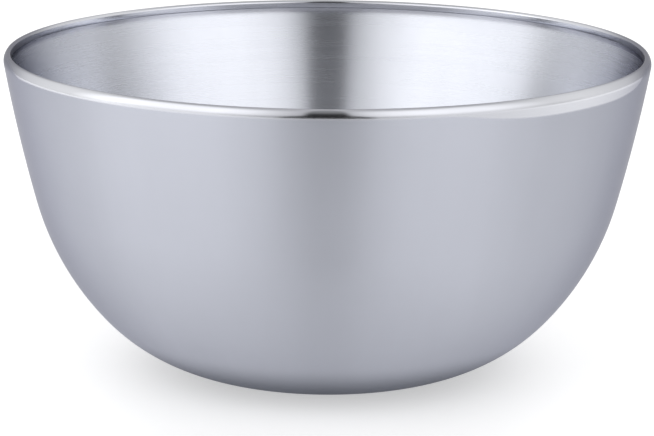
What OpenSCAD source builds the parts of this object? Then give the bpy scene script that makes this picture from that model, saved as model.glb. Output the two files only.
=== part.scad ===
// Double-walled shaving bowl, drawn from stainless steel sheet.
// Two shells with an air gap between them meet in a folded seam at the lip:
// the outer shell's edge turns in and down over the inner shell's upright edge,
// and a bead of sealant in the fold keeps water out of the gap.
// Millimetres, +Z up, origin at the centre of the plane that the bowl stands on.

/* [Bowl] */
// Outside diameter at the lip
rim_d = 120; // [100:1:140]
// Height from the table to the top of the lip
bowl_h = 60; // [52:1:68]
// Outside diameter of the flat ring that the bowl stands on
foot_d = 44; // [36:1:50]
// Thickness of the steel sheet of both shells
sheet = 0.4; // [0.3:0.05:0.4]

/* [Outer shell] */
// Lean of the wall above the foot, from horizontal
foot_lean = 12; // [8:1:16]
// Lean where the heel curve ends and the side curve begins
heel_lean = 47; // [42:1:54]
// Lean where the side curve ends and the nearly straight wall begins
side_lean = 75; // [73:0.5:77]
// Lean of the wall just under the lip
wall_lean = 80; // [79:0.5:82]
// Radius of the nearly straight wall's curve
wall_r = 300; // [240:10:400]
// Radius of the turn from the foot ring into the wall
foot_r = 8; // [5:0.5:10]
// Width of the flat ring that the bowl stands on
foot_w = 4; // [3:0.5:6]
// Height of the pressed-in panel inside the foot ring
recess_h = 0.8; // [0.5:0.1:1.2]
// Inside radius of the bends around the pressed-in panel
recess_bend_r = 1.2; // [1:0.1:2]

/* [Lip] */
// Radius of the lip's rounded outside shoulder
lip_r = 2.2; // [2:0.1:2.5]
// Angle above horizontal at which the shoulder passes into the crown
lip_turn = 36; // [34:1:42]
// Outside radius of the tight turn over the top
crown_r = 0.55; // [0.55:0.01:0.65]
// Length of the straight leg that is folded down inside
fold_leg = 1; // [0.9:0.1:1.4]

/* [Inner shell] */
// Clear height of the air gap between the two bottoms
gap_h = 5; // [3.5:0.5:7]
// Diameter of the flat at the inner shell's bottom
floor_d = 30; // [24:1:36]
// Lean where the inner heel curve ends
inner_heel_lean = 46; // [42:1:50]
// Lean where the inner side curve ends
inner_side_lean = 73; // [71:0.5:74]
// Lean of the inner wall just under the neck
inner_wall_lean = 77; // [75:0.5:78]
// Radius of the inner wall's nearly straight curve
inner_wall_r = 300; // [240:10:340]
// Outside radius of the neck, where the wall turns upright into the fold
neck_r = 5; // [4:0.5:6]
// Length of the upright edge that stands in the fold
edge_h = 1.1; // [0.9:0.1:1.3]
// Height of the part of the upright edge that the folded leg covers
edge_cover = 0.7; // [0.5:0.1:0.8]

/* [Smoothness] */
// Largest gap between a curve of the section and the chords that stand for it
chord_gap = 0.01; // [0.004:0.002:0.02]
// Largest turn between neighbouring chords, in degrees
chord_turn = 9; // [3:1:12]

/* [Hidden] */

$fn = 180;
// Clearance where the sealant or one sheet lies against another sheet.
hairline = 0.01;

// Centre of the lip's shoulder arc and of its crown arc, in the section plane [r, z].
crown_shift = (lip_r - crown_r) * [cos(lip_turn), sin(lip_turn)];
shoulder_c = [rim_d / 2 - lip_r, bowl_h - crown_r - crown_shift.y];
crown_c = shoulder_c + crown_shift;

// The pressed-in panel drops to the foot ring in two opposite bends of the same turn.
recess_turn = acos(1 - recess_h / (2 * recess_bend_r + sheet));
recess_run = (2 * recess_bend_r + sheet) * sin(recess_turn);
panel_r = foot_d / 2 - foot_w - recess_run;

// Upright edge of the inner shell: it leans against the folded leg's hidden side.
edge_in_r = crown_c.x - crown_r + sheet + hairline;
edge_out_r = edge_in_r + sheet;
edge_top = crown_c.y - fold_leg + edge_cover;
edge_low = edge_top - edge_h;

// --- Section curves -------------------------------------------------------------------------
// A section is walked from the axis outward as a list of steps, each [radius, end_lean, length]:
// an arc that turns to end_lean, or a straight run where radius is 0. The walk keeps to the
// sheet's underside, and offset = sheet gives the matching curve of its upper side.

function heading(lean) = [cos(lean), sin(lean)];
function arc_to(radius, lean) = [radius, lean, 0];
function run(length) = [0, 0, length];

// Where an arc of this radius ends, seen from its start.
function arc_move(radius, from, to) = radius * [sin(to) - sin(from), cos(from) - cos(to)];

function arc_points(p, radius, from, to) =
    let (
        turn = min(chord_turn, 2 * acos(1 - min(1, chord_gap / abs(radius)))),
        n = max(2, ceil(abs(to - from) / turn))
    )
    [for (i = [1:n]) p + arc_move(radius, from, from + (to - from) * i / n)];

function walk(steps, p, offset, lean = 0, i = 0) =
    i == len(steps) ? [] :
    let (
        s = steps[i],
        straight = s[0] == 0,
        turned = straight ? lean : s[1],
        made = straight ? [p + s[2] * heading(lean)] : arc_points(p, s[0] - offset, lean, turned)
    )
    concat(made, walk(steps, made[len(made) - 1], offset, turned, i + 1));

function sheet_outline(steps, start) =
    let (
        under = concat([start], walk(steps, start, 0)),
        over_start = start + [0, sheet],
        over = concat([over_start], walk(steps, over_start, sheet))
    )
    concat(under, [for (i = [len(over) - 1:-1:0]) over[i]]);

// Radii of two arcs in a row that join p to q, given the leans where they start, meet and end.
function two_radii(p, q, leans) =
    let (
        a = arc_move(1, leans[0], leans[1]),
        b = arc_move(1, leans[1], leans[2]),
        d = q - p,
        det = a.x * b.y - b.x * a.y
    )
    [(d.x * b.y - b.x * d.y) / det, (a.x * d.y - d.x * a.y) / det];

// --- Outer shell ----------------------------------------------------------------------------
wall_top = shoulder_c + arc_move(lip_r, 0, wall_lean) - [0, lip_r];
wall_foot = wall_top - arc_move(wall_r, side_lean, wall_lean);
heel_start = [foot_d / 2, 0] + arc_move(foot_r, 0, foot_lean);
outer_r = two_radii(heel_start, wall_foot, [foot_lean, heel_lean, side_lean]);

outer_steps = [
    run(panel_r),
    arc_to(-recess_bend_r, -recess_turn),
    arc_to(recess_bend_r + sheet, 0),
    run(foot_w),
    arc_to(foot_r, foot_lean),
    arc_to(outer_r[0], heel_lean),
    arc_to(outer_r[1], side_lean),
    arc_to(wall_r, wall_lean),
    arc_to(lip_r, 90 + lip_turn),
    arc_to(crown_r, 270),
    run(fold_leg)
];

module outer_shell() {
    color("lightsteelblue")
        rotate_extrude()
            polygon(sheet_outline(outer_steps, [0, recess_h]));
}

// --- Inner shell ----------------------------------------------------------------------------
floor_z = recess_h + sheet + gap_h;
neck_low = [edge_out_r, edge_low] - arc_move(neck_r, inner_wall_lean, 90);
inner_wall_foot = neck_low - arc_move(inner_wall_r, inner_side_lean, inner_wall_lean);
inner_r = two_radii([floor_d / 2, floor_z], inner_wall_foot, [0, inner_heel_lean, inner_side_lean]);

inner_steps = [
    run(floor_d / 2),
    arc_to(inner_r[0], inner_heel_lean),
    arc_to(inner_r[1], inner_side_lean),
    arc_to(inner_wall_r, inner_wall_lean),
    arc_to(neck_r, 90),
    run(edge_h)
];

module inner_shell() {
    color("gainsboro")
        rotate_extrude()
            polygon(sheet_outline(inner_steps, [0, floor_z]));
}

// --- Sealant in the fold --------------------------------------------------------------------
// It fills the space between the outer shell's hidden side and the inner shell's upright edge,
// from the foot of the shoulder bend to the inside of the crown.
// bend_side is a point on the hidden side of a bend, where the sheet's lean is the one given.
function bend_side(centre, radius, lean) =
    centre + (radius - sheet - hairline) * [sin(lean), -cos(lean)];

seal_steps = 8;
seal_shoulder = [for (i = [0:seal_steps])
    bend_side(shoulder_c, lip_r, wall_lean + (90 + lip_turn - wall_lean) * i / seal_steps)];
seal_crown = [for (i = [1:seal_steps])
    bend_side(crown_c, crown_r, 90 + lip_turn + (180 - lip_turn) * i / seal_steps)];
seal_edge = [
    [edge_in_r, edge_top + hairline],
    [edge_out_r + hairline, edge_top + hairline],
    [edge_out_r + hairline, seal_shoulder[0].y]
];

module seam_seal() {
    color("whitesmoke")
        rotate_extrude()
            polygon(concat(seal_shoulder, seal_crown, seal_edge));
}

outer_shell();
inner_shell();
seam_seal();
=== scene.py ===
"""A double-walled steel shaving bowl on a pale floor, under soft studio light.

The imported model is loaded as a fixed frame. Three pieces take the place of its nodes: the outer
shell with its folded lip, the brushed inner shell, and the bead of sealant in the fold. Each is a
sheet of steel, or a bead, whose section is walked arc by arc and turned about the bowl's axis.
Lengths in the classes are millimetres, and meshes are made in metres.
"""

import logging
import math
from collections.abc import Iterable, Sequence
from dataclasses import dataclass, field
from enum import Enum
from typing import ClassVar

import bmesh
import bpy
from mathutils import Matrix, Vector


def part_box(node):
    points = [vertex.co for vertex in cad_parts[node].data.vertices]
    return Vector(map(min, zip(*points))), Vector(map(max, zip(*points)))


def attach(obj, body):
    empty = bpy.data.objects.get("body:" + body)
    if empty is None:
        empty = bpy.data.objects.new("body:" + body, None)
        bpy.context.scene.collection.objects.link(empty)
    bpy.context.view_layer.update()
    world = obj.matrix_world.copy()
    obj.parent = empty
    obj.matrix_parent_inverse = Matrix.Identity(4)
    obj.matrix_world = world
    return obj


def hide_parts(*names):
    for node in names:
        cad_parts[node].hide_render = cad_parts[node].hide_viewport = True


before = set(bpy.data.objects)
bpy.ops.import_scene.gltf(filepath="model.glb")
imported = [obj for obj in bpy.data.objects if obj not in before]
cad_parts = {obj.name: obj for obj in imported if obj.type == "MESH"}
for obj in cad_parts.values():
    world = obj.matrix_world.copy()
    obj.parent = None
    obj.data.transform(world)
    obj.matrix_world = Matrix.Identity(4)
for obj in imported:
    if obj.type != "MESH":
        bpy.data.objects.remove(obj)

MM = 0.001
ON_AXIS = 1e-6
LOG = logging.getLogger("shaving_bowl")

Point = tuple[float, float]
Colour = tuple[float, float, float]
Paint = tuple[float, float, float, float]
Operand = "float | Value"


# ---------------------------------------------------------------------------------------------
# Shader building
# ---------------------------------------------------------------------------------------------


class Value:
    """A number's socket in a node tree, so that shader maths reads as Python expressions."""

    def __init__(self, bench: "Bench", socket: bpy.types.NodeSocket) -> None:
        """Holds the socket and the bench that its node stands on.

        Args:
            bench: The bench that makes further nodes.
            socket: An output socket that carries the value.
        """
        self.bench = bench
        self.socket = socket

    def _with(self, operation: str, first: Operand, second: Operand) -> "Value":
        """Adds a Math node.

        Args:
            operation: The Math node's operation.
            first: Its first operand.
            second: Its second operand.

        Returns:
            The node's result.
        """
        return self.bench.node("ShaderNodeMath", {"operation": operation}, {0: first, 1: second})

    def __add__(self, other: Operand) -> "Value":
        """Self plus other."""
        return self._with("ADD", self, other)

    def __radd__(self, other: Operand) -> "Value":
        """Other plus self."""
        return self._with("ADD", other, self)

    def __sub__(self, other: Operand) -> "Value":
        """Self less other."""
        return self._with("SUBTRACT", self, other)

    def __rsub__(self, other: Operand) -> "Value":
        """Other less self."""
        return self._with("SUBTRACT", other, self)

    def __mul__(self, other: Operand) -> "Value":
        """Self times other."""
        return self._with("MULTIPLY", self, other)

    def __rmul__(self, other: Operand) -> "Value":
        """Other times self."""
        return self._with("MULTIPLY", other, self)

    def __truediv__(self, other: Operand) -> "Value":
        """Self over other."""
        return self._with("DIVIDE", self, other)

    def __rtruediv__(self, other: Operand) -> "Value":
        """Other over self."""
        return self._with("DIVIDE", other, self)

    def __pow__(self, other: Operand) -> "Value":
        """Self to the power of other."""
        return self._with("POWER", self, other)

    def __rpow__(self, other: Operand) -> "Value":
        """Other to the power of self."""
        return self._with("POWER", other, self)


class Bench:
    """Makes and links the nodes of one material or world."""

    def __init__(self, tree: bpy.types.NodeTree) -> None:
        """Clears a node tree to work in.

        Args:
            tree: The tree of a material or a world.
        """
        self.tree = tree
        self.tree.nodes.clear()

    def node(
        self,
        kind: str,
        settings: dict[str, object] | None = None,
        inputs: dict[str | int, object] | None = None,
        output: str | int = 0,
    ) -> Value:
        """Adds one node.

        Args:
            kind: The node's type.
            settings: Its properties, set first; "stops" holds a ramp's (place, grey) pairs.
            inputs: Values, or Value links, of its sockets by name or number.
            output: The output socket that is wanted, by name or number.

        Returns:
            The wanted output.
        """
        made = self.tree.nodes.new(kind)
        for name, value in (settings or {}).items():
            if name == "stops":
                self._set_stops(made.color_ramp, value)
            else:
                setattr(made, name, value)
        for name, value in (inputs or {}).items():
            if isinstance(value, Value):
                self.tree.links.new(value.socket, made.inputs[name])
            else:
                made.inputs[name].default_value = value
        return Value(self, made.outputs[output] if len(made.outputs) else None)

    @staticmethod
    def _set_stops(ramp: bpy.types.ColorRamp, stops: Sequence[Point]) -> None:
        """Gives a ramp its stops.

        Args:
            ramp: The ramp of a Color Ramp node.
            stops: Pairs of place and grey level.
        """
        while len(ramp.elements) > 1:
            ramp.elements.remove(ramp.elements[-1])
        for index, (place, grey) in enumerate(stops):
            stop = ramp.elements[0] if index == 0 else ramp.elements.new(place)
            stop.position = place
            stop.color = (grey, grey, grey, 1.0)

    def ramp_between(self, value: Operand, start: float, end: float) -> Value:
        """Rises smoothly from 0 to 1 as a value goes from start to end.

        Args:
            value: What is tested.
            start: Where the rise begins.
            end: Where it ends; it may be below start.

        Returns:
            The smooth step.
        """
        settings = {"interpolation_type": "SMOOTHSTEP", "clamp": True}
        return self.node("ShaderNodeMapRange", settings, {"Value": value, 1: start, 2: end})

    def mix_colour(self, amount: Operand, first: object, second: object) -> Value:
        """Blends two colours.

        Args:
            amount: 0 for the first colour, 1 for the second.
            first: A colour or a link.
            second: A colour or a link.

        Returns:
            The blended colour.
        """
        settings = {"data_type": "RGBA"}
        return self.node("ShaderNodeMix", settings, {0: amount, 6: first, 7: second}, 2)

    def noise(self, vector: Value, scale: float, detail: float = 2.0, rough: float = 0.5) -> Value:
        """Adds a noise pattern.

        Args:
            vector: Where it is read.
            scale: Features per unit of the vector.
            detail: Octaves.
            rough: Share of the finer octaves.

        Returns:
            The pattern, around 0.5.
        """
        inputs = {"Vector": vector, "Scale": scale, "Detail": detail, "Roughness": rough}
        return self.node("ShaderNodeTexNoise", None, inputs)


@dataclass(frozen=True)
class Places:
    """Where a point of the bowl is, as numbers that patterns are drawn from, in millimetres."""

    x: Value
    y: Value
    z: Value
    radius: Value

    @classmethod
    def on(cls, bench: Bench) -> "Places":
        """Reads the place of the shaded point.

        Args:
            bench: The bench of the material.

        Returns:
            Its coordinates and its distance from the bowl's axis.
        """
        place = bench.node("ShaderNodeTexCoord", None, None, "Object")
        split = bench.node("ShaderNodeSeparateXYZ", None, {0: place})
        outputs = split.socket.node.outputs
        x, y, z = (Value(bench, outputs[axis]) / MM for axis in range(3))
        return cls(x, y, z, (x * x + y * y) ** 0.5)

    def rings(self, bench: Bench, fineness: float, stretch: float) -> Value:
        """Coordinates in which a pattern becomes fine lines that run around the bowl.

        Args:
            bench: The bench of the material.
            fineness: Lines per millimetre across the section.
            stretch: How many times longer than wide a line is.

        Returns:
            The vector to read a pattern at.
        """
        across = (self.radius + self.z) * fineness
        along = fineness / stretch
        inputs = {0: self.x * along, 1: self.y * along, 2: across}
        return bench.node("ShaderNodeCombineXYZ", None, inputs)

    def blotches(self, bench: Bench, per_mm: float) -> Value:
        """Coordinates for a pattern that has no direction.

        Args:
            bench: The bench of the material.
            per_mm: Features per millimetre.

        Returns:
            The vector to read a pattern at.
        """
        inputs = {0: self.x * per_mm, 1: self.y * per_mm, 2: self.z * per_mm}
        return bench.node("ShaderNodeCombineXYZ", None, inputs)


# ---------------------------------------------------------------------------------------------
# Finishes
# ---------------------------------------------------------------------------------------------


class Slot(Enum):
    """The record's material slots."""

    POLISHED_STEEL = "polished_steel"
    BRUSHED_STEEL = "brushed_steel"
    SEALANT = "sealant"


def new_material(name: str) -> tuple[bpy.types.Material, Bench]:
    """Starts an empty material.

    Args:
        name: Its name.

    Returns:
        The material and the bench of its nodes.
    """
    material = bpy.data.materials.new(name)
    material.use_nodes = True
    return material, Bench(material.node_tree)


def paint(colour: Colour, level: float = 1.0) -> Paint:
    """Makes a colour, darker or lighter, into one that a socket takes.

    Args:
        colour: Red, green and blue.
        level: What each is multiplied by, up to full brightness.

    Returns:
        The colour with an alpha of 1.
    """
    red, green, blue = (min(1.0, channel * level) for channel in colour)
    return red, green, blue, 1.0


def finish_material(bench: Bench, inputs: dict[str | int, object]) -> None:
    """Closes a material with a Principled shader.

    Args:
        bench: The material's bench.
        inputs: The shader's values and links.
    """
    shader = bench.node("ShaderNodeBsdfPrincipled", None, inputs)
    bench.node("ShaderNodeOutputMaterial", None, {0: shader})


@dataclass(frozen=True)
class TurnedSteel:
    """Stainless steel polished or brushed on a lathe, so that its fine lines run around the bowl.

    The lines spread a highlight across themselves, up and down the wall, and leave it narrow along
    themselves. From smooth_from to smooth_to they give way to metal that is buffed bright. Its
    colour carries a painted highlight that grows towards the left and right. The buffing was done
    by hand, so it may reach lower by dip at one place around the bowl, and start higher by
    side_rise at the far left and right.

    What every such steel shares is named in capitals. ENDS and the side highlight's places are on a
    scale that is 0 in front of the bowl's axis and behind it, and 1 at the far left and right.
    Scuffs grow from nothing at the height SCUFFS_FROM to their full strength at SCUFFS_FULL, near
    the table. Towards the table the colour also grows darker: painted shade that stands in for the
    table's shadow reflected in the foot.
    """

    name: str
    colour: Colour
    bright_colour: Colour
    # Painted highlight: the buffed colour towards the left and right.
    side_highlight_colour: Colour
    lined_roughness: float
    bright_roughness: float
    directional: float
    smooth_from: float
    smooth_to: float
    lines_per_mm: float
    line_depth: float
    line_contrast: float
    streak_contrast: float
    # Painted shade: the colour the foot darkens to near the table, for the table's shadow it
    # reflects.
    foot_shade_colour: Colour = (0.19, 0.2, 0.23)
    foot_shade_from: float = 10.0
    foot_shade_full: float = 2.0
    side_rise: float = 0.0
    dip: float = 0.0
    dip_compass: float = 0.0
    dip_width: float = 30.0
    # Strength of the scuffs on the foot, which are wear, and of the painted shade near the table.
    foot_wear_and_shade: float = 0.0

    EDGE_TINT: ClassVar[Paint] = (0.5, 0.5, 0.54, 1.0)
    GRAIN_ROTATION: ClassVar[float] = 0.25
    LINE_STRETCH: ClassVar[float] = 400.0
    BROAD_FINENESS: ClassVar[float] = 0.12
    BROAD_STRETCH: ClassVar[float] = 90.0
    BROAD_SHARE: ClassVar[float] = 0.6
    HAZE_PER_MM: ClassVar[float] = 0.05
    HAZE_ROUGHNESS: ClassVar[float] = 0.05
    STREAKS_AROUND: ClassVar[float] = 9.0
    STREAK_RISE: ClassVar[float] = 0.006
    SCUFFS_PER_MM: ClassVar[float] = 1.4
    SCUFF_WIDTH: ClassVar[float] = 0.05
    SCUFFS_FROM: ClassVar[float] = 0.3
    SCUFFS_FULL: ClassVar[float] = 0.1
    SCUFF_ROUGHNESS: ClassVar[float] = 0.22
    SCUFF_SHADE: ClassVar[float] = 0.3
    SCUFF_RELIEF: ClassVar[float] = 0.5
    TONE_RANGE: ClassVar[float] = 0.22
    ENDS_FROM: ClassVar[float] = 0.84
    ENDS_FULL: ClassVar[float] = 0.95
    # Where the painted side highlight grows and fades, and its share below the buffed band's top.
    SIDE_HIGHLIGHT_FROM: ClassVar[float] = 0.12
    SIDE_HIGHLIGHT_FULL: ClassVar[float] = 0.6
    SIDE_HIGHLIGHT_FADES_FROM: ClassVar[float] = 0.78
    SIDE_HIGHLIGHT_FADES_TO: ClassVar[float] = 0.95
    SIDE_HIGHLIGHT_LOW_SHARE: ClassVar[float] = 0.4

    def material(self) -> bpy.types.Material:
        """Builds the material.

        Returns:
            The finished material.
        """
        material, bench = new_material(self.name)
        at = Places.on(bench)
        aside = at.x * at.x / (at.radius * at.radius)
        ends = bench.ramp_between(aside, self.ENDS_FROM, self.ENDS_FULL)
        height = at.z + self._dip(bench, at) - ends * self.side_rise
        lined = 1.0 - bench.ramp_between(height, self.smooth_from, self.smooth_to)
        lines = self._lines(bench, at)
        haze = bench.noise(at.blotches(bench, self.HAZE_PER_MM), 1.0, 3.0) - 0.5
        scuffs = self._scuffs(bench, at)

        uneven = lines * self.line_contrast + haze * self.HAZE_ROUGHNESS
        roughness = self.bright_roughness + lined * (self.lined_roughness - self.bright_roughness)
        roughness = roughness + lined * uneven + scuffs * self.SCUFF_ROUGHNESS
        streaks = self._streaks(bench, at) * self.streak_contrast
        shade = lined * (lines * self.line_contrast + streaks) - scuffs * self.SCUFF_SHADE
        colour = bench.mix_colour(lined, self._polish(bench, at, aside), self._satin(bench, shade))
        # Painted shade: the metal grows darker towards the table, standing in for the table's
        # shadow reflected in the foot.
        foot_shade = bench.ramp_between(at.z, self.foot_shade_from, self.foot_shade_full) * self.foot_wear_and_shade
        colour = bench.mix_colour(foot_shade, colour, paint(self.foot_shade_colour))
        relief = lines * lined + scuffs * self.SCUFF_RELIEF
        bump_inputs = {"Strength": 1.0, "Distance": self.line_depth * MM, "Height": relief}
        bump = bench.node("ShaderNodeBump", None, bump_inputs)
        finish_material(
            bench,
            {
                "Base Color": colour,
                "Metallic": 1.0,
                "Roughness": roughness,
                "Anisotropic": self.directional,
                "Anisotropic Rotation": self.GRAIN_ROTATION,
                "Specular Tint": self.EDGE_TINT,
                "Normal": bump,
            },
        )
        return material

    def _satin(self, bench: Bench, shade: Value) -> Value:
        """Colour of the lined metal.

        Args:
            bench: The material's bench.
            shade: How much lighter or darker than usual the metal is, around 0.

        Returns:
            The colour.
        """
        tone = bench.ramp_between(0.5 + shade, 0.0, 1.0)
        dark = paint(self.colour, 1.0 - self.TONE_RANGE)
        return bench.mix_colour(tone, dark, paint(self.colour, 1.0 + self.TONE_RANGE))

    def _polish(self, bench: Bench, at: Places, aside: Value) -> Value:
        """Colour of the buffed metal, with a painted highlight towards the left and right.

        Args:
            bench: The material's bench.
            at: The place of the shaded point.
            aside: 0 in front and behind, 1 at the far left and right.

        Returns:
            The colour.
        """
        # Painted highlight: lighter towards the left and right, fading at the far ends, at a lower
        # share below the buffed band's top, where dip reaches.
        side = bench.ramp_between(aside, self.SIDE_HIGHLIGHT_FROM, self.SIDE_HIGHLIGHT_FULL)
        side = side * bench.ramp_between(aside, self.SIDE_HIGHLIGHT_FADES_TO, self.SIDE_HIGHLIGHT_FADES_FROM)
        high = bench.ramp_between(at.z, self.smooth_from, self.smooth_to)
        side = side * (high * (1.0 - self.SIDE_HIGHLIGHT_LOW_SHARE) + self.SIDE_HIGHLIGHT_LOW_SHARE)
        return bench.mix_colour(side, paint(self.bright_colour), paint(self.side_highlight_colour))

    def _lines(self, bench: Bench, at: Places) -> Value:
        """Fine lines that run around the bowl, with broader ones among them.

        Args:
            bench: The material's bench.
            at: The place of the shaded point.

        Returns:
            The lines, around 0.
        """
        fine = bench.noise(at.rings(bench, self.lines_per_mm, self.LINE_STRETCH), 1.0, 3.0, 0.65)
        fineness = self.lines_per_mm * self.BROAD_FINENESS
        broad = bench.noise(at.rings(bench, fineness, self.BROAD_STRETCH), 1.0, 2.0)
        return (fine - 0.5) + (broad - 0.5) * self.BROAD_SHARE

    def _dip(self, bench: Bench, at: Places) -> Value:
        """How much lower the buffed zone reaches at a place around the bowl.

        Args:
            bench: The material's bench.
            at: The place of the shaded point.

        Returns:
            The extra reach, in millimetres.
        """
        middle = math.radians(self.dip_compass)
        facing = (at.x * math.sin(middle) - at.y * math.cos(middle)) / at.radius
        return bench.ramp_between(facing, math.cos(math.radians(self.dip_width)), 1.0) * self.dip

    def _streaks(self, bench: Bench, at: Places) -> Value:
        """Faint differences from place to place around the bowl, left by the lathe's hand tool.

        Args:
            bench: The material's bench.
            at: The place of the shaded point.

        Returns:
            The streaks, around 0.
        """
        inputs = {0: at.x / at.radius, 1: at.y / at.radius, 2: at.z * self.STREAK_RISE}
        around = bench.node("ShaderNodeCombineXYZ", None, inputs)
        return bench.noise(around, self.STREAKS_AROUND, 3.0, 0.6) - 0.5

    def _scuffs(self, bench: Bench, at: Places) -> Value:
        """Short scratches on the ring that the bowl stands on.

        Args:
            bench: The material's bench.
            at: The place of the shaded point.

        Returns:
            The scratches, from 0 to 1.
        """
        place = at.blotches(bench, self.SCUFFS_PER_MM)
        cell_inputs = {"Vector": place, "Scale": 1.0, "Randomness": 1.0}
        settings = {"feature": "DISTANCE_TO_EDGE"}
        cells = bench.node("ShaderNodeTexVoronoi", settings, cell_inputs, "Distance")
        worn = bench.ramp_between(at.z, self.SCUFFS_FROM, self.SCUFFS_FULL) * self.foot_wear_and_shade
        return bench.ramp_between(cells, self.SCUFF_WIDTH, 0.0) * worn


@dataclass(frozen=True)
class Sealant:
    """A cured bead of off-white sealant."""

    name: str = "sealant"
    colour: Colour = (0.72, 0.73, 0.71)
    lumps_per_mm: float = 1.6
    lump_depth: float = 0.02
    dark_level: float = 0.85

    def material(self) -> bpy.types.Material:
        """Builds the material.

        Returns:
            The finished material.
        """
        material, bench = new_material(self.name)
        at = Places.on(bench)
        lumps = bench.noise(at.blotches(bench, self.lumps_per_mm), 1.0, 3.0)
        colour = bench.mix_colour(lumps, paint(self.colour, self.dark_level), paint(self.colour))
        bump_inputs = {"Strength": 0.5, "Distance": self.lump_depth * MM, "Height": lumps}
        bump = bench.node("ShaderNodeBump", None, bump_inputs)
        inputs = {"Base Color": colour, "Roughness": 0.45 + lumps * 0.15, "Normal": bump}
        finish_material(bench, inputs)
        return material


@dataclass(frozen=True)
class PaleFloor:
    """A plain white table top with a very faint mottle, glowing with painted light in place of
    light from below.

    The glow lightens the bowl's shadow on it. It glows a little more beside the bowl than in front
    of it, which lightens that shadow further, and more again to the left, a painted pool of light
    that the bowl's left side reflects.
    """

    name: str = "pale_floor"
    grey: float = 0.62
    mottle: float = 0.005
    mottle_per_mm: float = 0.02
    # Painted light: the floor glows though it is no lamp, which lightens the bowl's shadow on it.
    glow: float = 0.46
    # Painted light beside the bowl, where the bowl's shadow falls.
    side_glow: float = 0.12
    side_from: float = 15.0
    side_full: float = 50.0
    # A painted pool of light to the left, which the bowl's left side reflects.
    left_glow: float = 0.25
    left_from: float = -50.0
    left_full: float = -150.0

    def material(self) -> bpy.types.Material:
        """Builds the material.

        Returns:
            The finished material.
        """
        material, bench = new_material(self.name)
        at = Places.on(bench)
        mottle = bench.noise(at.blotches(bench, self.mottle_per_mm), 1.0, 2.0)
        white = (self.grey, self.grey, self.grey)
        colour = bench.mix_colour(mottle, paint(white, 1.0 - self.mottle), paint(white))
        side = bench.ramp_between(at.x * at.x, self.side_from**2, self.side_full**2)
        left = bench.ramp_between(at.x, self.left_from, self.left_full)
        # Painted light: the glow, stronger beside the bowl and to the left.
        glow = self.glow + side * self.side_glow + left * self.left_glow
        glow = bench.node("ShaderNodeCombineColor", None, {0: glow, 1: glow, 2: glow})
        inputs = {
            "Base Color": colour,
            "Roughness": 0.85 + mottle * 0.05,
            "Specular IOR Level": 0.2,
            "Emission Strength": 1.0,
            "Emission Color": glow,
        }
        finish_material(bench, inputs)
        return material


# ---------------------------------------------------------------------------------------------
# Sections and meshes
# ---------------------------------------------------------------------------------------------


@dataclass(frozen=True)
class Turn:
    """An arc of a section that turns until the section leans at end_lean degrees."""

    radius: float
    end_lean: float


@dataclass(frozen=True)
class Run:
    """A straight stretch of a section, cut into parts so that its faces stay short."""

    length: float
    parts: int = 1


@dataclass
class Walk:
    """A section walked from a start point, given as [distance from the axis, height]."""

    place: Point
    lean: float = 0.0
    offset: float = 0.0
    points: list[Point] = field(default_factory=list)

    FINEST_GAP = 0.0015
    WIDEST_TURN = 7.5

    def __post_init__(self) -> None:
        """Moves the start to the offset curve and puts it first in the list."""
        self.place = (self.place[0], self.place[1] + self.offset)
        self.points.append(self.place)

    def take(self, step: Turn | Run) -> None:
        """Walks one step and adds its points.

        Args:
            step: The arc or straight stretch.
        """
        if isinstance(step, Run):
            self._take_run(step)
        else:
            self._take_turn(step)

    def _take_run(self, step: Run) -> None:
        """Walks straight on.

        Args:
            step: The straight stretch.
        """
        lean = math.radians(self.lean)
        start = self.place
        for part in range(1, step.parts + 1):
            length = step.length * part / step.parts
            self.place = (start[0] + length * math.cos(lean), start[1] + length * math.sin(lean))
            self.points.append(self.place)

    def _take_turn(self, step: Turn) -> None:
        """Walks around an arc.

        Args:
            step: The arc.
        """
        finest = 2.0 * math.acos(1.0 - min(1.0, self.FINEST_GAP / abs(step.radius)))
        angle = abs(step.end_lean - self.lean)
        count = max(3, math.ceil(angle / min(self.WIDEST_TURN, math.degrees(finest))))
        radius = step.radius - self.offset
        start, first = self.place, self.lean
        for index in range(1, count + 1):
            self.lean = first + (step.end_lean - first) * index / count
            move = arc_move(radius, first, self.lean)
            self.place = (start[0] + move[0], start[1] + move[1])
            self.points.append(self.place)


def arc_move(radius: float, first: float, last: float) -> Point:
    """Where an arc ends, seen from its start.

    Args:
        radius: The arc's radius.
        first: The lean at its start, in degrees.
        last: The lean at its end, in degrees.

    Returns:
        The move outward and upward.
    """
    a, b = math.radians(first), math.radians(last)
    return radius * (math.sin(b) - math.sin(a)), radius * (math.cos(a) - math.cos(b))


def two_radii(start: Point, end: Point, leans: tuple[float, float, float]) -> Point:
    """Radii of two arcs in a row that join two points.

    Args:
        start: Where the first arc starts.
        end: Where the second arc ends.
        leans: The leans at the start, the meeting point and the end, in degrees.

    Returns:
        The two radii.
    """
    a = arc_move(1.0, leans[0], leans[1])
    b = arc_move(1.0, leans[1], leans[2])
    d = (end[0] - start[0], end[1] - start[1])
    det = a[0] * b[1] - b[0] * a[1]
    return (d[0] * b[1] - b[0] * d[1]) / det, (a[0] * d[1] - d[0] * a[1]) / det


def rounded_end(under: Point, over: Point, parts: int = 6) -> list[Point]:
    """Points of the half circle that rounds off a sheet's cut edge.

    Args:
        under: The last point of the sheet's underside.
        over: The last point of its upper side.
        parts: How many chords the half circle has.

    Returns:
        The points between the two.
    """
    middle = Vector(((under[0] + over[0]) / 2, (under[1] + over[1]) / 2))
    arm = Vector(under) - middle
    ahead = Vector((-arm.y, arm.x))
    turns = (math.pi * index / parts for index in range(1, parts))
    return [tuple(middle + arm * math.cos(t) + ahead * math.sin(t)) for t in turns]


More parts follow.
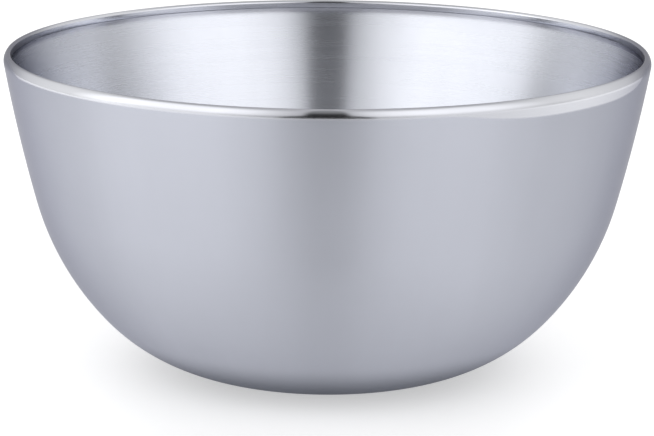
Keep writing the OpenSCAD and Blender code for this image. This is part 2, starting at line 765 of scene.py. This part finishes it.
def sheet_section(start: Point, steps: Iterable[Turn | Run], sheet: float) -> list[Point]:
    """Outline of a bent sheet, from the axis along its underside and back along its upper side.

    Args:
        start: Where the underside meets the axis.
        steps: The bends and straight stretches from there to the cut edge.
        sheet: The sheet's thickness.

    Returns:
        The outline, open at the axis.
    """
    under, over = Walk(start), Walk(start, offset=sheet)
    for step in steps:
        under.take(step)
        over.take(step)
    edge = rounded_end(under.points[-1], over.points[-1])
    return under.points + edge + over.points[::-1]


def turn_section(
    name: str, section: Sequence[Point], closed: bool, around: int = 288
) -> bpy.types.Object:
    """Turns a section about the upright axis into a smooth closed mesh.

    Args:
        name: The new object's name.
        section: The outline in millimetres, anticlockwise in the plane of radius and height.
        closed: Whether the outline is a loop clear of the axis, and not open at the axis.
        around: How many faces go around the bowl.

    Returns:
        The new object, in metres.
    """
    mesh = bpy.data.meshes.new(name)
    maker = bmesh.new()
    rings = []
    for radius, height in section:
        if radius < ON_AXIS:
            rings.append([maker.verts.new((0.0, 0.0, height * MM))] * around)
            continue
        angles = (math.tau * index / around for index in range(around))
        arms = ((radius * math.cos(angle), radius * math.sin(angle)) for angle in angles)
        rings.append([maker.verts.new((x * MM, y * MM, height * MM)) for x, y in arms])
    pairs = list(zip(rings, rings[1:]))
    if closed:
        pairs.append((rings[-1], rings[0]))
    for inner, outer in pairs:
        for index in range(around):
            after = (index + 1) % around
            corners = [inner[index], inner[after], outer[after], outer[index]]
            corners = list(dict.fromkeys(corners))
            if len(corners) > 2:
                maker.faces.new(corners[::-1])
    maker.normal_update()
    maker.to_mesh(mesh)
    maker.free()
    mesh.shade_smooth()
    piece = bpy.data.objects.new(name, mesh)
    bpy.context.scene.collection.objects.link(piece)
    return piece


# ---------------------------------------------------------------------------------------------
# The bowl's pieces
# ---------------------------------------------------------------------------------------------


class Piece:
    """What every piece of the bowl does once its mesh is made."""

    node: str
    slot: Slot

    def place(self, piece: bpy.types.Object, material: bpy.types.Material) -> bpy.types.Object:
        """Gives a piece its finish and ties it to the frame.

        Args:
            piece: The new object.
            material: Its finish.

        Returns:
            The same object.
        """
        piece.data.materials.append(material)
        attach(piece, "root")
        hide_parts(self.node)
        LOG.info("%s: %d faces, %s", piece.name, len(piece.data.polygons), material.name)
        return piece


@dataclass
class OuterShell(Piece):
    """The polished outer shell, from the pressed-in base panel to the leg folded down inside."""

    rim_r: float
    height: float
    sheet: float = 0.4
    foot_r: float = 22.0
    foot_w: float = 4.0
    foot_bend_r: float = 8.0
    recess_h: float = 0.8
    recess_bend_r: float = 1.2
    leans: tuple[float, float, float] = (12.0, 47.0, 75.0)
    wall_lean: float = 80.0
    wall_r: float = 300.0
    lip_r: float = 2.2
    lip_turn: float = 36.0
    crown_r: float = 0.55
    fold_leg: float = 1.0

    node = "outer_shell"
    slot = Slot.POLISHED_STEEL

    def crown_centre(self) -> Point:
        """Finds the centre of the tight bend over the lip's top.

        Returns:
            Its distance from the axis and its height.
        """
        shoulder, turn = self.shoulder_centre(), math.radians(self.lip_turn)
        reach = self.lip_r - self.crown_r
        return shoulder[0] + reach * math.cos(turn), shoulder[1] + reach * math.sin(turn)

    def shoulder_centre(self) -> Point:
        """Centre of the lip's rounded outside shoulder."""
        drop = (self.lip_r - self.crown_r) * math.sin(math.radians(self.lip_turn))
        return self.rim_r - self.lip_r, self.height - self.crown_r - drop

    def section(self) -> list[Point]:
        """Walks the shell's section.

        Returns:
            The outline in millimetres.
        """
        bends = 2.0 * self.recess_bend_r + self.sheet
        recess_turn = math.degrees(math.acos(1.0 - self.recess_h / bends))
        panel_r = self.foot_r - self.foot_w - bends * math.sin(math.radians(recess_turn))
        shoulder = self.shoulder_centre()
        up_lip = arc_move(self.lip_r, 0.0, self.wall_lean)
        up_wall = arc_move(self.wall_r, self.leans[2], self.wall_lean)
        wall_foot = (
            shoulder[0] + up_lip[0] - up_wall[0],
            shoulder[1] - self.lip_r + up_lip[1] - up_wall[1],
        )
        off_foot = arc_move(self.foot_bend_r, 0.0, self.leans[0])
        heel_start = (self.foot_r + off_foot[0], off_foot[1])
        heel_r, side_r = two_radii(heel_start, wall_foot, self.leans)
        steps = [
            Run(panel_r, 5),
            Turn(-self.recess_bend_r, -recess_turn),
            Turn(self.recess_bend_r + self.sheet, 0.0),
            Run(self.foot_w, 2),
            Turn(self.foot_bend_r, self.leans[0]),
            Turn(heel_r, self.leans[1]),
            Turn(side_r, self.leans[2]),
            Turn(self.wall_r, self.wall_lean),
            Turn(self.lip_r, 90.0 + self.lip_turn),
            Turn(self.crown_r, 270.0),
            Run(self.fold_leg - self.sheet / 2, 2),
        ]
        return sheet_section((0.0, self.recess_h), steps, self.sheet)

    def build(self) -> bpy.types.Object:
        """Makes the shell and dresses it.

        Returns:
            The new object.
        """
        finish = TurnedSteel(
            name="polished_steel",
            colour=(0.476, 0.49, 0.548),
            bright_colour=(0.515, 0.522, 0.56),
            # Painted highlight: the lip's colour towards the left and right.
            side_highlight_colour=(0.8, 0.81, 0.85),
            lined_roughness=0.335,
            bright_roughness=0.13,
            directional=1.0,
            smooth_from=self.height - 1.9,
            smooth_to=self.height - 1.45,
            lines_per_mm=5.0,
            line_depth=0.0003,
            line_contrast=0.03,
            streak_contrast=0.06,
            side_rise=1.4,
            dip=1.7,
            dip_compass=48.0,
            dip_width=29.0,
            # Scuffs on the ring the bowl stands on, and painted shade towards the table.
            foot_wear_and_shade=1.0,
        )
        piece = turn_section("outer_shell_skin", self.section(), closed=False)
        return self.place(piece, finish.material())


@dataclass
class InnerShell(Piece):
    """The brushed inner shell, whose upright edge stands inside the folded lip."""

    outer: OuterShell
    gap_h: float = 5.0
    floor_r: float = 15.0
    leans: tuple[float, float, float] = (0.0, 46.0, 73.0)
    wall_lean: float = 77.0
    wall_r: float = 300.0
    neck_r: float = 5.0
    edge_h: float = 1.1
    edge_cover: float = 0.7
    hairline: float = 0.01

    node = "inner_shell"
    slot = Slot.BRUSHED_STEEL

    def edge_out_r(self) -> float:
        """Radius of the hidden side of the upright edge."""
        outer = self.outer
        return outer.crown_centre()[0] - outer.crown_r + 2.0 * outer.sheet + self.hairline

    def edge_top(self) -> float:
        """Height of the upright edge's top."""
        return self.outer.crown_centre()[1] - self.outer.fold_leg + self.edge_cover

    def section(self) -> list[Point]:
        """Walks the shell's section.

        Returns:
            The outline in millimetres.
        """
        floor = (self.floor_r, self.outer.recess_h + self.outer.sheet + self.gap_h)
        up_neck = arc_move(self.neck_r, self.wall_lean, 90.0)
        up_wall = arc_move(self.wall_r, self.leans[2], self.wall_lean)
        wall_foot = (
            self.edge_out_r() - up_neck[0] - up_wall[0],
            self.edge_top() - self.edge_h - up_neck[1] - up_wall[1],
        )
        heel_r, side_r = two_radii(floor, wall_foot, self.leans)
        steps = [
            Run(self.floor_r, 5),
            Turn(heel_r, self.leans[1]),
            Turn(side_r, self.leans[2]),
            Turn(self.wall_r, self.wall_lean),
            Turn(self.neck_r, 90.0),
            Run(self.edge_h - self.outer.sheet / 2, 2),
        ]
        return sheet_section((0.0, floor[1]), steps, self.outer.sheet)

    def build(self) -> bpy.types.Object:
        """Makes the shell and dresses it.

        Returns:
            The new object.
        """
        finish = TurnedSteel(
            name="brushed_steel",
            colour=(0.645, 0.66, 0.71),
            bright_colour=(0.6, 0.605, 0.65),
            # The same as bright_colour, so the inner shell has no painted side highlight.
            side_highlight_colour=(0.6, 0.605, 0.65),
            lined_roughness=0.27,
            bright_roughness=0.2,
            directional=0.94,
            smooth_from=self.edge_top() - self.edge_h - 0.6,
            smooth_to=self.edge_top() - self.edge_h - 0.3,
            lines_per_mm=4.0,
            line_depth=0.00025,
            line_contrast=0.05,
            streak_contrast=0.12,
        )
        piece = turn_section("inner_shell_skin", self.section(), closed=False)
        return self.place(piece, finish.material())


@dataclass
class SeamSeal(Piece):
    """The bead of sealant between the lip's hidden side and the inner shell's upright edge."""

    outer: OuterShell
    inner: InnerShell
    parts: int = 10

    node = "seam_seal"
    slot = Slot.SEALANT

    def section(self) -> list[Point]:
        """Follows the inside of the lip's two bends and closes along the upright edge.

        Returns:
            The outline in millimetres.
        """
        outer, hairline = self.outer, self.inner.hairline
        points = []
        for centre, radius, first, last in (
            (outer.shoulder_centre(), outer.lip_r, outer.wall_lean, 90.0 + outer.lip_turn),
            (outer.crown_centre(), outer.crown_r, 90.0 + outer.lip_turn, 270.0),
        ):
            reach = radius - outer.sheet - hairline
            for index in range(self.parts):
                lean = math.radians(first + (last - first) * index / self.parts)
                aside, down = reach * math.sin(lean), reach * math.cos(lean)
                points.append((centre[0] + aside, centre[1] - down))
        edge_out = self.inner.edge_out_r()
        top = self.inner.edge_top() + hairline
        points.append((edge_out - outer.sheet, outer.crown_centre()[1]))
        points.append((edge_out - outer.sheet, top))
        points.append((edge_out + hairline, top))
        points.append((edge_out + hairline, points[0][1]))
        return points

    def build(self) -> bpy.types.Object:
        """Makes the bead and dresses it.

        Returns:
            The new object.
        """
        piece = turn_section("seam_seal_bead", self.section(), closed=True)
        return self.place(piece, Sealant().material())


# ---------------------------------------------------------------------------------------------
# The studio
# ---------------------------------------------------------------------------------------------


@dataclass(frozen=True)
class LightTent:
    """A white tent around the table, brightest beside the slit that the camera looks through.

    A dark oval skirt hangs low in front, around the camera's stand. Compass angles are degrees
    from the front, towards the bowl's right, and rises are degrees above the table. Each wall level
    is a pair of a compass angle and a brightness.
    """

    walls: tuple[Point, ...] = (
        (-180.0, 0.8),
        (-150.0, 0.9),
        (-134.0, 1.05),
        (-100.0, 1.15),
        (-82.0, 2.1),
        (-40.0, 2.45),
        (-28.0, 2.1),
        (-16.0, 1.4),
        (-10.0, 1.1),
        (10.0, 1.2),
        (16.0, 1.7),
        (24.0, 2.1),
        (35.0, 2.3),
        (60.0, 2.1),
        (84.0, 1.15),
        (126.0, 0.95),
        (150.0, 0.85),
        (180.0, 0.8),
    )
    low_front: float = 0.5
    low_side: float = 0.7
    low_side_from: float = 20.0
    low_side_full: float = 50.0
    low_from: float = -4.0
    low_full: float = 16.0
    roof: float = 1.0
    roof_from: float = 40.0
    roof_full: float = 64.0
    tilt: float = 20.0
    tilt_from: float = 60.0
    tilt_full: float = 130.0
    slit_half_width: float = 8.0
    slit_softness: float = 2.0
    slit_low_level: float = 0.04
    slit_high_level: float = 0.6
    slit_fades_from: float = 20.0
    slit_fades_to: float = 60.0
    skirt_half_width: float = 17.0
    skirt_middle: float = -8.0
    skirt_half_height: float = 27.0
    skirt_level: float = 0.15
    skirt_full: float = 0.75
    skirt_gone: float = 1.15
    backdrop: float = 1.4

    def hang(self) -> None:
        """Makes the tent as the world's light. The camera itself sees a plain pale backdrop."""
        world = bpy.data.worlds.new("light_tent")
        bpy.context.scene.world = world
        world.use_nodes = True
        bench = Bench(world.node_tree)
        place = bench.node("ShaderNodeTexCoord", None, None, "Generated")
        split = bench.node("ShaderNodeSeparateXYZ", None, {0: place})
        x, y, z = (Value(bench, split.socket.node.outputs[axis]) for axis in range(3))
        compass = bench.node("ShaderNodeMath", {"operation": "ARCTAN2"}, {0: x, 1: 0.0 - y})
        compass = compass * math.degrees(1.0)
        rise = bench.node("ShaderNodeMath", {"operation": "ARCSINE"}, {0: z}) * math.degrees(1.0)

        turned = bench.node("ShaderNodeMath", {"operation": "ABSOLUTE"}, {0: compass})
        tilted = rise + bench.ramp_between(turned, self.tilt_from, self.tilt_full) * self.tilt
        lit = bench.ramp_between(tilted, self.low_from, self.low_full)
        sideways = bench.ramp_between(turned, self.low_side_from, self.low_side_full)
        low = self.low_front + sideways * (self.low_side - self.low_front)
        level = self._wall_level(bench, compass) * (low + lit * (1.0 - low))
        roof = bench.ramp_between(tilted, self.roof_from, self.roof_full)
        level = level * (1.0 - roof) + self.roof * roof

        aside = turned / self.skirt_half_width
        above = (rise - self.skirt_middle) / self.skirt_half_height
        out = aside * aside + above * above
        skirt = bench.ramp_between(out, self.skirt_gone, self.skirt_full)
        level = level * (1.0 - skirt) + self.skirt_level * skirt

        edge, soft = self.slit_half_width, self.slit_softness
        slit = bench.ramp_between(turned, edge + soft, edge - soft)
        fade = bench.ramp_between(rise, self.slit_fades_from, self.slit_fades_to)
        through = self.slit_low_level + fade * (self.slit_high_level - self.slit_low_level)
        level = level * (1.0 - slit) + through * slit

        seen = bench.node("ShaderNodeLightPath", None, None, "Is Camera Ray")
        level = level * (1.0 - seen) + self.backdrop * seen
        light = bench.node("ShaderNodeBackground", None, {"Strength": level})
        bench.node("ShaderNodeOutputWorld", None, {0: light})

    def _wall_level(self, bench: Bench, compass: Value) -> Value:
        """Brightness of the tent's walls.

        Args:
            bench: The world's bench.
            compass: The compass angle, in degrees.

        Returns:
            The brightness.
        """
        brightest = max(level for _, level in self.walls)
        stops = [((angle + 180.0) / 360.0, level / brightest) for angle, level in self.walls]
        ramp = bench.node("ShaderNodeValToRGB", {"stops": stops}, {0: (compass + 180.0) / 360.0})
        return bench.node("ShaderNodeRGBToBW", None, {0: ramp}) * brightest


@dataclass(frozen=True)
class Studio:
    """The floor, the light and the camera."""

    floor_half: float = 0.36
    floor_drop: float = 0.05
    camera_distance: float = 600.0
    camera_height: float = 163.4
    camera_pitch: float = 12.727
    camera_yaw: float = 0.012
    camera_roll: float = 0.42
    lens: float = 180.07

    def lay_floor(self) -> bpy.types.Object:
        """Lays the floor just under the bowl.

        Returns:
            The floor.
        """
        mesh = bpy.data.meshes.new("floor")
        half, level = self.floor_half, -self.floor_drop * MM
        across = ((-half, -half), (half, -half), (half, half), (-half, half))
        corners = [(x, y, level) for x, y in across]
        mesh.from_pydata(corners, [], [(0, 1, 2, 3)])
        floor = bpy.data.objects.new("floor", mesh)
        bpy.context.scene.collection.objects.link(floor)
        floor.data.materials.append(PaleFloor().material())
        return floor

    def stand_camera(self) -> None:
        """Stands the camera in front of the bowl, a little above its lip."""
        pitch, yaw = math.radians(self.camera_pitch), math.radians(self.camera_yaw)
        roll = math.radians(self.camera_roll)
        forward = Vector((math.sin(yaw), math.cos(yaw), 0.0))
        ahead = forward * math.cos(pitch) - Vector((0.0, 0.0, math.sin(pitch)))
        level = Vector((math.cos(yaw), -math.sin(yaw), 0.0))
        upward = level.cross(ahead)
        right = math.cos(roll) * level + math.sin(roll) * upward
        upward = right.cross(ahead)
        camera = bpy.data.objects.new("camera", bpy.data.cameras.new("camera"))
        camera.data.lens = self.lens
        camera.data.sensor_width = 36.0
        camera.data.clip_start = 0.01
        camera.data.clip_end = 100.0
        turn = Matrix((right, upward, -ahead)).transposed().to_4x4()
        place = Vector((0.0, -self.camera_distance, self.camera_height)) * MM
        camera.matrix_world = Matrix.Translation(place) @ turn
        bpy.context.scene.collection.objects.link(camera)
        bpy.context.scene.camera = camera

    def set_up(self) -> None:
        """Sets up the floor, the light and the camera."""
        bpy.context.scene.view_settings.view_transform = "Standard"
        self.lay_floor()
        LightTent().hang()
        self.stand_camera()


def main() -> None:
    """Builds the bowl around the frame, then the studio."""
    logging.basicConfig(level=logging.INFO, format="%(name)s: %(message)s")
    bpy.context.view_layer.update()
    low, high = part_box("outer_shell")
    outer = OuterShell(rim_r=(high.x - low.x) / 2 / MM, height=high.z / MM)
    inner = InnerShell(outer)
    seal = SeamSeal(outer, inner)
    outer.build()
    inner.build()
    seal.build()
    Studio().set_up()


if __name__ == "__main__":
    main()
